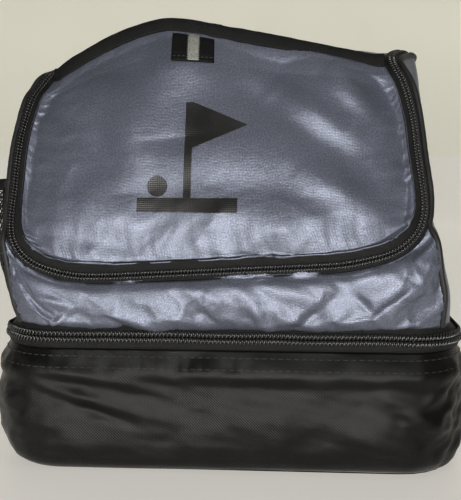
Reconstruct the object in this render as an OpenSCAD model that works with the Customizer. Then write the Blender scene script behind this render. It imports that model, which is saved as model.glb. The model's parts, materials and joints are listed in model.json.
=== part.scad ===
// Two-compartment golf shoe bag, millimetres.
// A black lower compartment carries a blue-grey upper compartment with a U-zipped lid.
// Origin: centre of the underside. +X is the bag's right as seen from the front,
// the front faces -Y, +Z is up. The zips run over their fabric in straight and round stretches.

/* [Lower compartment] */
// Width of the lower compartment
bag_w = 300; // [270:5:330]
// Depth of the lower compartment, front to back
bag_d = 190; // [170:5:210]
// Height of its fabric wall, up to the zip tape
lower_h = 81; // [60:1:100]
// Plan radius of the two front corners
front_r = 40; // [30:1:60]
// Plan radius of the two back corners
back_r = 14; // [8:1:20]

/* [Upper compartment] */
// How far each side panel stands in from the lower compartment's side
side_inset = 6.5; // [5:0.5:10]
// How far the front panel stands in from the lower compartment's front
front_inset = 2.5; // [2:0.5:6]
// Height of the upright front strip, above the lower zip
strip_h = 35; // [25:1:50]
// Height of the top front edge above the ground
peak_z = 280; // [270:1:300]
// Height of the top back edge above the ground
back_z = 262; // [250:1:264]
// How far back the top front edge leans from the front panel
lean_y = 52; // [40:1:70]
// How far each side has leant in at the top front edge
side_lean = 15; // [8:1:20]

/* [Lid] */
// Radius of the lid zip at its two bottom corners
lid_r = 36; // [25:1:45]
// Height of the black binding along the top front edge
binding_h = 10; // [6:1:14]

/* [Zips] */
// Width of one half of the zip tape
tape_w = 7; // [6:0.5:8]
// Width of one half of the tooth coil
coil_w = 2.3; // [1.5:0.1:3]
// How far the coil stands out from the tape
coil_t = 1.6; // [1:0.1:1.8]
// Gap between the two halves of a closed zip
zip_gap = 0.6; // [0.4:0.1:1]
// Length of a slider
slider_l = 13; // [10:1:16]
// Length of a pull
pull_l = 24; // [16:1:30]

/* [Fabric] */
// Thickness of a padded fabric wall
wall_t = 2; // [1.5:0.1:2.4]
// Thickness of a zip tape
tape_t = 1; // [0.8:0.1:1.2]

/* [Webbing and print] */
// Width of the handle webbing and of the tab at its front end
webbing_w = 28; // [20:1:32]
// Width of the reflective stripe woven along the webbing
stripe_w = 7.5; // [5:0.5:10]
// Height of the printed golf flag
emblem_h = 70; // [50:1:80]
// Height of the print's middle above the ground
emblem_z = 202; // [190:1:210]
// How far left of centre the tab, the handle and the print sit
webbing_x = -26; // [-30:1:0]

/* [Side pocket] */
// Height of the mesh pocket's wall
pocket_h = 84; // [60:1:95]

/* [Hidden] */
$fn = 64;

slate = [0.36, 0.39, 0.46];
jet = [0.13, 0.13, 0.14];
coal = [0.08, 0.08, 0.09];
board = [0.45, 0.42, 0.38];
silver = [0.78, 0.79, 0.80];
gunmetal = [0.30, 0.30, 0.32];

skin = 1.5;                                  // bottom panel thickness
board_t = 2.5;                               // stiffener thickness
lining_t = 0.8;
slack = 0.3;                                 // clearance between bodies that move apart
half_w = bag_w / 2;
front = -bag_d / 2;
rear = bag_d / 2;
wall_z = lower_h;                            // top of the lower wall
zip_z = wall_z + tape_w + zip_gap / 2;       // middle of the lower zip
deck_z = zip_z + zip_gap / 2 + tape_w;       // bottom of the upper compartment
seam_y = rear - wall_t;                      // where the gusset meets the back panel
upper_half = half_w - side_inset;
side_a = atan(side_lean / (peak_z - deck_z));
face_y = front + front_inset;                // outer face of the upper front
strip_z = deck_z + strip_h;                  // where the front begins to lean
peak_y = face_y + lean_y;
lean_a = atan(lean_y / (peak_z - strip_z));
lean_l = norm([lean_y, peak_z - strip_z]);
slope_a = atan((peak_z - back_z) / (rear - peak_y));
slope_l = norm([rear - peak_y, peak_z - back_z]);
bend_trim = wall_t * tan((90 - lean_a + slope_a) / 2) + 0.05;
edge_a = atan(cos(lean_a) * tan(side_a));    // how the lid's sides lean in, within its own plane
lid_foot = side_x(strip_z, wall_t) - (tape_w + 0.1) / cos(edge_a);   // lid zip line at the lean's foot
lid_half = lid_x(lean_l);                    // lid zip line at the top front edge, from the centre
lid_v = tape_w + 1;                          // lid zip line above the lean's foot
corner_v = lid_v + lid_r;
corner_x = lid_x(corner_v) - lid_r / cos(edge_a);
zip_end_v = slope_l - 22;                    // where the lid coil ends, along the slope
zip_end_y = 62;                              // where the lower coil ends
hinge_back = 3;                              // strip left free at the lid's hinge
pull_w = 7;
pull_t = 1.2;
plate_t = 1;                                 // slider plate thickness
crown_t = 1;                                 // slider crown thickness
piping_r = 1.5;
knuckle_r = 1.4 * piping_r;                  // rounds the piping where it turns a corner
pull_lift = coil_t + 2 * slack + plate_t + crown_t;   // underside of a pull above its tape
reach = half_w + pull_lift + pull_t;         // how far the bag reaches to each side
pocket_out = reach - upper_half;             // how far the mesh pocket bulges
pocket_y0 = -64;                             // front and back ends of the mesh pocket
pocket_y1 = 66;
pocket_slant = 16;                           // run over which its wall swings out
far = 1000;

// Face of a side panel at height z, moved in by inset
function side_x(z, inset) = upper_half - (z - deck_z) * tan(side_a) - inset / cos(side_a);

// Middle line of the lid zip, v up the leaning front
function lid_x(v) = lid_foot - v * tan(edge_a);

// Plan outline of the lower compartment, drawn in by inset
module plan(inset) {
  w = half_w - inset;
  f = front + inset;
  b = rear - inset;
  rf = front_r - inset;
  rb = back_r - inset;
  for (s = [-1, 1]) {
    translate([s * (w - rf), f + rf]) circle(rf);
    translate([s * (w - rb), b - rb]) circle(rb);
  }
  translate([-(w - rf), f]) square([2 * (w - rf), rf + 1]);
  translate([-w, f + rf]) square([2 * w, b - rb - f - rf]);
  translate([-(w - rb), b - rb - 1]) square([2 * (w - rb), rb + 1]);
}

// Upright ring that follows the plan, from one inset to a deeper one
module ring(z0, z1, outer, inner) {
  translate([0, 0, z0]) linear_extrude(z1 - z0) difference() {
    plan(outer);
    plan(inner);
  }
}

module ahead_of(y) {
  intersection() {
    children();
    translate([-far / 2, y - far, -1]) cube([far, far, far]);
  }
}

module behind(y) {
  intersection() {
    children();
    translate([-far / 2, y, -1]) cube([far, far, far]);
  }
}

// Extrudes children on the leaning front: local Y runs up the slope, from depth inward
module on_lean(depth, t) {
  translate([0, face_y, strip_z]) rotate([90 - lean_a, 0, 0]) translate([0, 0, -depth - t])
    linear_extrude(t) children();
}

// Extrudes children on the top: local Y runs back down the slope from the top front edge
module on_top(depth, t) {
  translate([0, peak_y, peak_z]) rotate([-slope_a, 0, 0]) translate([0, 0, -depth - t])
    linear_extrude(t) children();
}

// Point [y, z] on the leaning front, v up the slope and h out from it
function lean_pt(v, h) = [face_y + v * sin(lean_a) - h * cos(lean_a), strip_z + v * cos(lean_a) + h * sin(lean_a)];

// Point [y, z] on the top, v back down the slope and h out from it
function top_pt(v, h) = [peak_y + v * cos(slope_a) + h * sin(slope_a), peak_z - v * sin(slope_a) + h * cos(slope_a)];

// Point [y, z] where the two faces meet, both moved out by h
function peak_pt(h) = [peak_y, peak_z]
  + h / (1 + sin(lean_a - slope_a)) * [sin(slope_a) - cos(lean_a), sin(lean_a) + cos(slope_a)];

// Extrudes a [y, z] outline along X, from -w to w
module across(w) {
  translate([-w, 0, 0]) rotate([90, 0, 90]) linear_extrude(2 * w) children();
}

// U outline of the lid on the leaning front, drawn in from the zip's middle line
module lid_outline(inset, top) {
  r = lid_r - inset;
  steps = 14;
  arc = [for (i = [0:steps]) let (a = -90 + (90 + edge_a) * i / steps) [corner_x + r * cos(a), corner_v + r * sin(a)]];
  top_x = lid_x(top) - inset / cos(edge_a);
  polygon(concat(
    arc,
    [[top_x, top], [-top_x, top]],
    [for (i = [steps:-1:0]) [-arc[i][0], arc[i][1]]]
  ));
}

module lid_band(outer, inner, top) {
  difference() {
    lid_outline(outer, top);
    lid_outline(inner, top + 1);
  }
}

// Two straight strips on the top, one each side of the lid
module top_strips(outer, inner, v0, v1) {
  for (s = [-1, 1]) {
    mid = s * (lid_half - (outer + inner) / 2);
    translate([mid - (inner - outer) / 2, v0]) square([inner - outer, v1 - v0]);
  }
}

// Keeps what lies between the two leaning side planes, moved in by inset
module within_sides(inset) {
  top = peak_z + 20;
  b = side_x(0, inset);
  t = side_x(top, inset);
  intersection() {
    children();
    rotate([90, 0, 0]) translate([0, 0, -far / 2]) linear_extrude(far)
      polygon([[-b, 0], [b, 0], [t, top], [-t, top]]);
  }
}

// Stands children in the leaning frame of a side, 1 for right and -1 for left, from the deck up
module on_side(side) {
  translate([side * upper_half, 0, deck_z]) rotate([0, -side * side_a, 0]) children();
}

module side_panel(side) {
  c = cos(side_a);
  foot = skin + wall_t * sin(side_a) + 0.05;
  color(slate) on_side(side) translate([side > 0 ? -wall_t : 0, 0, 0]) rotate([90, 0, 90])
    linear_extrude(wall_t) polygon([
      [face_y, foot],
      [face_y, (strip_z - deck_z) / c],
      [peak_y, (peak_z - deck_z) / c],
      [rear, (back_z - deck_z) / c],
      [rear, foot]
    ]);
}

// Round cord between two points [y, z] beside a leaning side, with a round knuckle at its far end
module cord_run(side, p, q) {
  a = [side * (side_x(p[1], -knuckle_r)), p[0], p[1]];
  b = [side * (side_x(q[1], -knuckle_r)), q[0], q[1]];
  d = b - a;
  translate(a) rotate([0, acos(d[2] / norm(d)), atan2(d[1], d[0])]) cylinder(r = piping_r, h = norm(d));
  translate(b) sphere(knuckle_r);
}

module piping(side) {
  foot = deck_z + skin + knuckle_r;
  back = rear - knuckle_r;
  color(coal) {
    cord_run(side, [face_y, foot], [face_y, strip_z]);
    cord_run(side, [face_y, strip_z], [peak_y, peak_z]);
    cord_run(side, [peak_y, peak_z], [back, back_z]);
    cord_run(side, [back, back_z], [back, foot]);
  }
}

// Plan of the mesh pocket's wall on the left side, drawn in by inset
module pocket_plan(inset) {
  polygon([
    [0, pocket_y0 + inset],
    [-pocket_out + inset, pocket_y0 + pocket_slant + inset],
    [-pocket_out + inset, pocket_y1 - pocket_slant - inset],
    [0, pocket_y1 - inset]
  ]);
}

module bottom_panel() {
  color(coal) linear_extrude(skin) plan(0);
}

module base_board() {
  color(board) translate([0, 0, skin]) linear_extrude(board_t) plan(wall_t + 1.5);
}

module lower_gusset() {
  color(coal) ahead_of(seam_y) ring(skin, wall_z, 0, wall_t);
}

module lower_back_panel() {
  color(coal) behind(seam_y) ring(skin, zip_z - zip_gap / 2, 0, wall_t);
}

module lower_lining() {
  floor_z = skin + board_t;
  color(jet) {
    ring(floor_z, wall_z - 1, wall_t, wall_t + lining_t);
    translate([0, 0, floor_z]) linear_extrude(lining_t) plan(wall_t);
  }
}

module lower_zip_tape() {
  color(jet) ahead_of(seam_y) ring(wall_z, zip_z - zip_gap / 2, 0, tape_t);
}

module lower_zip_coil() {
  top = zip_z - zip_gap / 2;
  color(coal) ahead_of(zip_end_y) ring(top - coil_w, top, -coil_t, 0);
}

module lower_zip_stops() {
  top = zip_z - zip_gap / 2;
  color(gunmetal) for (s = [-1, 1])
    translate([s * (half_w + coil_t / 2), zip_end_y + 1.5, top - coil_w / 2])
      cube([coil_t, 3, coil_w], center = true);
}

module rear_hinge_tape() {
  color(jet) translate([-half_w + 2 * back_r, rear, zip_z - 14]) cube([bag_w - 4 * back_r, coil_t, 13.5]);
}

module lower_zip_slider() {
  x0 = half_w + coil_t + slack;
  color(gunmetal) {
    translate([x0, zip_end_y - slider_l - 2, zip_z - 4.5]) cube([plate_t, slider_l, 9]);
    translate([x0 + plate_t, zip_end_y - slider_l + 1, zip_z - 1]) cube([crown_t, slider_l - 6, 2]);
  }
}

module lower_zip_pull() {
  x0 = half_w + pull_lift;
  color(gunmetal) difference() {
    translate([x0, zip_end_y - slider_l / 2 - 2 - pull_w / 2, zip_z - 1 - slack - pull_l])
      cube([pull_t, pull_w, pull_l]);
    translate([x0 - 1, zip_end_y - slider_l / 2 - 2, zip_z - pull_l + 3]) rotate([0, 90, 0])
      cylinder(r = 1.6, h = pull_t + 2);
  }
}

module divider_panel() {
  color(coal) ahead_of(seam_y) translate([0, 0, deck_z]) linear_extrude(skin) plan(0);
}

module upper_zip_tape() {
  color(jet) ahead_of(seam_y) ring(zip_z + zip_gap / 2, deck_z, 0, tape_t);
}

module upper_zip_coil() {
  bottom = zip_z + zip_gap / 2;
  color(coal) ahead_of(zip_end_y) ring(bottom, bottom + coil_w, -coil_t, 0);
}

module front_panel() {
  foot = deck_z + skin;
  top = lid_v + lid_r;
  color(slate) within_sides(wall_t) difference() {
    across(upper_half) polygon([
      [face_y, foot],
      [face_y, strip_z],
      lean_pt(top, 0),
      lean_pt(top, -wall_t),
      [face_y + wall_t, strip_z - wall_t * tan(lean_a / 2)],
      [face_y + wall_t, foot]
    ]);
    on_lean(-5, 15) lid_outline(-tape_w, lean_l);
  }
}

module left_side_panel() {
  side_panel(-1);
}

module right_side_panel() {
  side_panel(1);
}

module back_panel() {
  foot = zip_z + zip_gap / 2;
  top = back_z - hinge_back - slack;
  color(slate) within_sides(wall_t) translate([-upper_half, rear - wall_t, foot])
    cube([2 * upper_half, wall_t, top - foot]);
}

module left_piping() {
  piping(-1);
}

module right_piping() {
  piping(1);
}

module lid_hinge_tape() {
  w = lid_half - 6;
  color(jet) translate([-w, rear, back_z - 16]) cube([2 * w, coil_t, 12]);
}

module mesh_pocket() {
  color(jet) on_side(-1) translate([0, 0, skin]) {
    linear_extrude(pocket_h) difference() {
      pocket_plan(0);
      pocket_plan(1);
    }
    linear_extrude(1) pocket_plan(0);
  }
}

module pocket_binding() {
  color(coal) on_side(-1) translate([0, 0, skin + pocket_h]) linear_extrude(6) difference() {
    pocket_plan(0);
    pocket_plan(1.6);
  }
}

module lid_zip_outer_tape() {
  inner = -zip_gap / 2;
  color(jet) {
    on_lean(0, tape_t) lid_band(-tape_w, inner, lean_l - bend_trim);
    on_top(0, tape_t) top_strips(-tape_w, inner, bend_trim, slope_l - hinge_back);
  }
}

module lid_zip_outer_coil() {
  inner = -zip_gap / 2;
  color(coal) {
    on_lean(-coil_t, coil_t) lid_band(inner - coil_w, inner, lean_l - slack);
    on_top(-coil_t, coil_t) top_strips(inner - coil_w, inner, slack, zip_end_v);
  }
}

module lid_zip_stops() {
  inner = -zip_gap / 2;
  color(gunmetal) on_top(-coil_t, coil_t) top_strips(inner - coil_w, inner, zip_end_v, zip_end_v + 3);
}

module lid_panel() {
  color(slate) on_lean(0, wall_t) lid_outline(tape_w, lean_l - bend_trim);
}

module lid_top_panel() {
  w = lid_half - tape_w;
  color(slate) on_top(0, wall_t) translate([-w, bend_trim]) square([2 * w, slope_l - hinge_back - bend_trim]);
}

module top_edge_binding() {
  color(coal) across(lid_half - tape_w) polygon([
    lean_pt(lean_l - binding_h, 0),
    lean_pt(lean_l - binding_h, coil_t),
    peak_pt(coil_t),
    top_pt(binding_h, coil_t),
    top_pt(binding_h, 0),
    [peak_y, peak_z]
  ]);
}

module lid_zip_inner_tape() {
  inner = zip_gap / 2;
  color(jet) {
    on_lean(0, tape_t) lid_band(inner, tape_w, lean_l - bend_trim);
    on_top(0, tape_t) top_strips(inner, tape_w, bend_trim, slope_l - hinge_back);
  }
}

module lid_zip_inner_coil() {
  inner = zip_gap / 2;
  color(coal) {
    on_lean(-coil_t, coil_t) lid_band(inner, inner + coil_w, lean_l - slack);
    on_top(-coil_t, coil_t) top_strips(inner, inner + coil_w, slack, zip_end_v);
  }
}

tab_l = 22;                                  // tab length that shows under the binding
web_t = 1.4;                                 // webbing thickness
foot_l = 20;                                 // sewn length at each end of the handle
arch_l = 86;                                 // clear span of the handle
arch_h = 15;                                 // how high the handle stands off the top
arch_r = (arch_l * arch_l / 4 + arch_h * arch_h) / (2 * arch_h);
arch_v = binding_h + foot_l + arch_l / 2;    // middle of the handle along the slope

module webbing_tab() {
  color(coal) on_lean(-web_t, web_t) translate([webbing_x - webbing_w / 2, lean_l - binding_h - tab_l])
    square([webbing_w, tab_l]);
}

module reflective_stripe() {
  color(silver) on_lean(-web_t - 0.4, 0.4) translate([webbing_x - stripe_w / 2, lean_l - binding_h - tab_l + 1])
    square([stripe_w, tab_l - 1]);
}

// Golf flag on a putting green, with a ball beside it
module flag_mark() {
  pole_w = emblem_h * 0.07;
  flag_w = emblem_h * 0.5;
  flag_h = emblem_h * 0.42;
  ball_r = emblem_h * 0.095;
  green_w = emblem_h * 0.92;
  green_h = emblem_h * 0.13;
  translate([-pole_w / 2, 0]) square([pole_w, emblem_h]);
  polygon([[pole_w / 2, emblem_h], [pole_w / 2 + flag_w, emblem_h - flag_h / 2], [pole_w / 2, emblem_h - flag_h]]);
  translate([-green_w / 2, 0]) square([green_w, green_h]);
  translate([-green_w * 0.3, green_h + ball_r]) circle(ball_r);
}

module printed_emblem() {
  v = (emblem_z - strip_z) / cos(lean_a) - emblem_h / 2;
  color(coal) on_lean(-0.3, 0.3) translate([webbing_x + 4, v]) flag_mark();
}

module carry_handle() {
  color(coal) translate([webbing_x - webbing_w / 2, peak_y, peak_z]) rotate([-slope_a, 0, 0]) {
    intersection() {
      translate([0, arch_v, arch_h - arch_r]) rotate([0, 90, 0]) difference() {
        cylinder(r = arch_r + web_t, h = webbing_w);
        translate([0, 0, -1]) cylinder(r = arch_r, h = webbing_w + 2);
      }
      translate([-1, arch_v - arch_l / 2 - 3, 0]) cube([webbing_w + 2, arch_l + 6, arch_h + 5]);
    }
    for (v = [arch_v - arch_l / 2 - foot_l, arch_v + arch_l / 2]) translate([0, v, 0]) cube([webbing_w, foot_l, web_t]);
  }
}

module handle_patches() {
  w = webbing_w - 6;
  color(jet) on_top(-web_t - 0.6, 0.6) for (v = [arch_v - arch_l / 2 - foot_l, arch_v + arch_l / 2])
    translate([webbing_x - w / 2, v + 4]) square([w, foot_l - 8]);
}

module lid_zip_slider() {
  v0 = zip_end_v - slider_l - 2;
  x0 = lid_half + slack;
  color(gunmetal) {
    on_top(-coil_t - slack - plate_t, plate_t) translate([x0, v0]) square([5.5, slider_l]);
    on_top(-coil_t - slack - plate_t - crown_t, crown_t) translate([x0 + 1.7, v0 + 4]) square([2, slider_l - 6]);
  }
}

module lid_zip_pull() {
  v0 = zip_end_v - slider_l - 2;
  color(gunmetal) on_top(-pull_lift - pull_t, pull_t) difference() {
    translate([lid_half + slack, v0 + 4 - slack - pull_l]) square([5.5, pull_l]);
    translate([lid_half + slack + 2.75, v0 + 4 - pull_l + 3]) circle(1.4);
  }
}

bottom_panel();
base_board();
lower_gusset();
lower_back_panel();
lower_lining();
lower_zip_tape();
lower_zip_coil();
lower_zip_stops();
rear_hinge_tape();
lower_zip_slider();
lower_zip_pull();
divider_panel();
upper_zip_tape();
upper_zip_coil();
front_panel();
left_side_panel();
right_side_panel();
back_panel();
left_piping();
right_piping();
lid_hinge_tape();
mesh_pocket();
pocket_binding();
lid_zip_outer_tape();
lid_zip_outer_coil();
lid_zip_stops();
lid_panel();
lid_top_panel();
top_edge_binding();
lid_zip_inner_tape();
lid_zip_inner_coil();
webbing_tab();
reflective_stripe();
printed_emblem();
carry_handle();
handle_patches();
lid_zip_slider();
lid_zip_pull();
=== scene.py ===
import json
import math

import bpy
import numpy as np
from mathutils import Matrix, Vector, noise
from mathutils.bvhtree import BVHTree
from mathutils.geometry import delaunay_2d_cdt


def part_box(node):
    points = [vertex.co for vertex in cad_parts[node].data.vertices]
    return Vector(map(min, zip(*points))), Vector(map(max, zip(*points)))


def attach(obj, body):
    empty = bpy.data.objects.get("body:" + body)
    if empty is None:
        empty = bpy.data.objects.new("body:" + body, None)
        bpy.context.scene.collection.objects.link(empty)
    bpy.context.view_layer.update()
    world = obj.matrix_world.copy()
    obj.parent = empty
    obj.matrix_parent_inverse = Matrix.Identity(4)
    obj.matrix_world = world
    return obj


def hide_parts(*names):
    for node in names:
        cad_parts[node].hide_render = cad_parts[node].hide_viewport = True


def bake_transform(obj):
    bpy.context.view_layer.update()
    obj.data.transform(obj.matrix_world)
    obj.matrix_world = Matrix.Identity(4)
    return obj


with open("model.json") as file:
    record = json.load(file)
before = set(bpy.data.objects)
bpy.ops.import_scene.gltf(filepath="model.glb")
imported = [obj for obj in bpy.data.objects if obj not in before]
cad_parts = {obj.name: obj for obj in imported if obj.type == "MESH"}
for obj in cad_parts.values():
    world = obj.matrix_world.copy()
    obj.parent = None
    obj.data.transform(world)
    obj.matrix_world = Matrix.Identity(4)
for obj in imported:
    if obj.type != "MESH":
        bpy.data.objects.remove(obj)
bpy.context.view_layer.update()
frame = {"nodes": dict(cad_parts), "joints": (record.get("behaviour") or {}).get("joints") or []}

MM = 0.001


def first_where(test):
    """Index of the first point for which test is true."""
    return int(np.argmax(test))


def ahead_of(line, y):
    """The first and last index of a line's points in front of y."""
    ahead = np.flatnonzero(line[:, 1] < y)
    return ahead[0], ahead[-1]


def add_object(name, data):
    """A new object in the scene."""
    item = bpy.data.objects.new(name, data)
    bpy.context.collection.objects.link(item)
    return item


# ---------------------------------------------------------------- sizes, from the frame


def box(node):
    """The lowest and highest corner of a CAD node."""
    low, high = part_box(node)
    return np.array(low), np.array(high)


BASE_LOW, BASE_HIGH = box("bottom_panel")
HALF_W = BASE_HIGH[0]                                  # lower compartment, half its width
FRONT = BASE_LOW[1]
REAR = BASE_HIGH[1]
WALL_TOP = box("lower_zip_tape")[0][2]                 # where the lower wall meets its zip tape
ZIP_Z = (box("lower_zip_coil")[1][2] + box("upper_zip_coil")[0][2]) / 2
DECK = box("upper_zip_tape")[1][2]                     # where the upper compartment begins
JOINTS = {j["name"]: j for j in frame["joints"]}
HINGE_Z = JOINTS["lid_hinge"]["pos_m"][2]
FRONT_R = 40 * MM                                      # plan radius of the lower front corners
REAR_R = 14 * MM
PLAN_END, PLAN_POINTS = REAR - 1.5 * MM, 361           # where the plan outlines stop at the rear, and their points
LID_COIL, LID_PITCH = 3.0 * MM, 2.1 * MM               # width of one half of a zip's teeth, and their pitch
LOW_COIL, LOW_PITCH = 4.2 * MM, 2.5 * MM
COIL_WIRE = 0.235                                      # radius of the teeth's wire, as a share of their pitch
NYLON_THICK, TWILL_THICK = 0.9 * MM, 1.2 * MM
LINING_THICK, TAPE_THICK, HINGE_THICK = 0.8 * MM, 0.7 * MM, 1.2 * MM
DRAPE_FRAMES = 24                                      # the cloth simulation's length
CLOTH_STIFFNESS = 8.0                                  # how hard its cloth is to stretch
DRAPE_LIMIT = 4.5 * MM                                 # the furthest it may move a point

# ---------------------------------------------------------------- camera, at the place the photo was taken from

camera = add_object("camera", bpy.data.cameras.new("camera"))
camera.location = (0.0412, -0.6519, 0.2054)
camera.rotation_euler = (math.radians(83.81), 0, math.radians(4.015))
camera.data.lens = 64.44
camera.data.sensor_width = 36
bpy.context.scene.camera = camera

# ---------------------------------------------------------------- curves and frames


def arc_length(line):
    """Distance of each point along a line."""
    return np.concatenate([[0], np.cumsum(np.linalg.norm(np.diff(line, axis=0), axis=1))])


def resample(line, count):
    """The same line through evenly spaced points."""
    s = arc_length(line)
    t = np.linspace(0, s[-1], count)
    return np.stack([np.interp(t, s, line[:, k]) for k in range(line.shape[1])], 1)


def spline(points, count):
    """Smooth curve through points given in millimetres, as evenly spaced points in metres."""
    p = np.array(points, float) * MM
    p = np.vstack([2 * p[0] - p[1], p, 2 * p[-1] - p[-2]])
    t = np.linspace(0, 1, 12, endpoint=False)[:, None]
    runs = []
    for a, b, c, d in zip(p[:-3], p[1:-2], p[2:-1], p[3:]):
        runs.append(0.5 * (2 * b + (c - a) * t + (2 * a - 5 * b + 4 * c - d) * t ** 2
                           + (3 * b - a - 3 * c + d) * t ** 3))
    runs.append(p[-2][None])
    return resample(np.vstack(runs), count)


def unit(v):
    return v / np.maximum(np.linalg.norm(v, axis=-1, keepdims=True), 1e-12)


def smooth(values, passes):
    """Values evened out along their first axis, with both ends kept."""
    for _ in range(passes):
        inner = (values[:-2] + 2 * values[1:-1] + values[2:]) / 4
        values = np.concatenate([values[:1], inner, values[-1:]])
    return values


class Seam:
    """A curve on the bag with its own axes: t along it, b across it in the fabric, n out of the fabric."""

    def __init__(self, points, across, tilt=0.0):
        self.p = points
        self.t = unit(np.gradient(points, axis=0))
        n = unit(np.cross(across, self.t))
        b = np.cross(self.t, n)
        tilt = np.asarray(tilt, float)
        tilt = tilt[:, None] if tilt.ndim else tilt
        self.n = n * np.cos(tilt) + b * np.sin(tilt)
        self.b = np.cross(self.t, self.n)
        self.s = arc_length(points)

    def at(self, b, n):
        """The seam moved by b across the fabric and n out of it, each a number or one per point."""
        b, n = (v[:, None] if v.ndim else v for v in (np.asarray(b, float), np.asarray(n, float)))
        return self.p + self.b * b + self.n * n

    def sample(self, s):
        """Place, b and n at distances s along the seam."""
        p, b, n = (np.stack([np.interp(s, self.s, v[:, k]) for k in range(3)], 1) for v in (self.p, self.b, self.n))
        return p, unit(b), unit(n)

    def part(self, first, last):
        """The stretch between two distances along the seam."""
        keep = (self.s >= first) & (self.s <= last)
        new = Seam.__new__(Seam)
        new.p, new.t, new.n, new.b = (v[keep] for v in (self.p, self.t, self.n, self.b))
        new.s = arc_length(new.p)
        return new


def plan_path(half_w, front, rear, front_r, rear_r):
    """Runs from the left rear corner round the front to the right rear corner, seen from above."""
    turn = np.linspace(0, math.pi / 2, 24)
    left = np.stack([-half_w + front_r - front_r * np.cos(turn), front + front_r - front_r * np.sin(turn)], 1)
    right = np.stack([-left[::-1, 0], left[::-1, 1]], 1)
    rise = np.linspace(0, math.asin((PLAN_END - rear + rear_r) / rear_r), 8)[::-1]
    ends = np.stack([-half_w + rear_r - rear_r * np.cos(rise), rear - rear_r + rear_r * np.sin(rise)], 1)
    line = np.vstack([ends, left, right, np.stack([-ends[::-1, 0], ends[::-1, 1]], 1)])
    return resample(line, PLAN_POINTS)


def at_height(plan, z):
    """A plan outline stood at height z, one number or one per point."""
    return np.column_stack([plan, np.broadcast_to(z, (len(plan),))])


def coons(bottom, top, left, right):
    """Sheet that spans four seams. bottom and top run with u, left and right with v."""
    u = np.linspace(0, 1, len(bottom))[None, :, None]
    v = np.linspace(0, 1, len(left))[:, None, None]
    ends = ((1 - u) * (1 - v) * bottom[0] + u * (1 - v) * bottom[-1]
            + (1 - u) * v * top[0] + u * v * top[-1])
    return (1 - v) * bottom[None] + v * top[None] + (1 - u) * left[:, None] + u * right[:, None] - ends


def grid_normals(grid):
    """The way out of a sheet at each of its points."""
    return unit(np.cross(np.gradient(grid, axis=1), np.gradient(grid, axis=0)))


def ripple(points, size, seed, octaves=2):
    """Smooth noise from -1 to 1 at each point, with features of the given size along x, y and z."""
    size = np.broadcast_to(np.asarray(size, float), (3,))
    flat = points.reshape(-1, 3) / size + seed * 17.3
    values = [noise.fractal(Vector(p), 0.7, 2.0, octaves) for p in flat]
    return np.array(values).reshape(points.shape[:-1])


def field(x, y, z):
    """Points from three arrays or numbers that fit one another: a sheet's grid, or places to read noise at."""
    return np.stack(np.broadcast_arrays(x, y, z), -1)


def crumple(points, size, seed):
    """Sharp creases: noise folded at zero, from -1 to 1, with valleys along lines. size as in ripple."""
    first = 1 - 2.4 * np.abs(ripple(points, size, seed, 1))
    second = 1 - 2.4 * np.abs(ripple(points, np.asarray(size, float) * 0.45, seed + 3, 1))
    return 0.68 * first + 0.32 * second * (0.5 + 0.5 * first)


def hump(t, power):
    """1 half way along t, from 0 to 1, and 0 at its ends."""
    return np.sin(math.pi * t) ** power


def across_and_up(cols, rows):
    """u and v over a sheet, from 0 to 1."""
    return np.linspace(0, 1, cols)[None], np.linspace(0, 1, rows)[:, None]


def grid_lengths(grid):
    """Distance of each point of a sheet along u and along v, in metres."""
    du = np.linalg.norm(np.diff(grid, axis=1), axis=2)
    dv = np.linalg.norm(np.diff(grid, axis=0), axis=2)
    u = np.concatenate([np.zeros((grid.shape[0], 1)), np.cumsum(du, axis=1)], 1)
    v = np.concatenate([np.zeros((1, grid.shape[1])), np.cumsum(dv, axis=0)], 0)
    return u, v


def puckers(grid, sides, height, reach, pitch, seed):
    """Gathers that stand across the seams along the named sides of a sheet and die out away from them."""
    u, v = grid_lengths(grid)
    far_u, far_v = u[:, -1:] - u, v[-1:, :] - v
    lift = np.zeros(grid.shape[:2])
    ways = {"bottom": (u, v), "top": (u, far_v), "left": (v, u), "right": (v, far_u)}
    for k, side in enumerate(sides):
        along, away = ways[side]
        p = field(along / pitch, away / (pitch * 5), seed + 3.7 * k)
        strength = 0.35 + 0.65 * np.clip(ripple(p * 0.16, 1, seed + 5, 1) + 0.5, 0, 1)
        wave = ripple(p, 1, seed + k, 2)
        lift += height * strength * wave * np.exp(-away / reach) * (1 - np.exp(-away / (reach * 0.12)))
    return lift


def fold(grid, start, end, height, width):
    """A ridge, or with a negative height a valley, along a line across the sheet. Points in millimetres."""
    a, b = np.array(start, float) * MM, np.array(end, float) * MM
    q = grid[..., [0, 2]]
    run = b - a
    t = np.clip(((q - a) @ run) / (run @ run), 0, 1)
    away = np.linalg.norm(q - a - t[..., None] * run, axis=-1)
    return height * MM * hump(np.clip(t, 0.04, 0.96), 0.6) * np.exp(-(away / (width * MM)) ** 2)


def add_folds(lift, grid, lines):
    """Adds folds to a sheet's lift, each given as start, end, height and width."""
    for line in lines:
        lift = lift + fold(grid, *line)
    return lift


def crease(grid, start, end, height, run, far):
    """A slope that rises over run to a sharp line and falls away over far on its right. All in millimetres."""
    a, b = np.array(start, float) * MM, np.array(end, float) * MM
    long = np.linalg.norm(b - a)
    way = (b - a) / long
    q = grid[..., [0, 2]] - a
    right = (way[0] * q[..., 1] - way[1] * q[..., 0]) / MM
    rise = np.where(right < 0, np.clip(1 + right / run, 0, 1), np.exp(-(np.maximum(right, 0) / far) ** 2))
    return height * MM * rise * hump(np.clip(q @ way / long, 0, 1), 0.6)


# ---------------------------------------------------------------- objects


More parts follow.
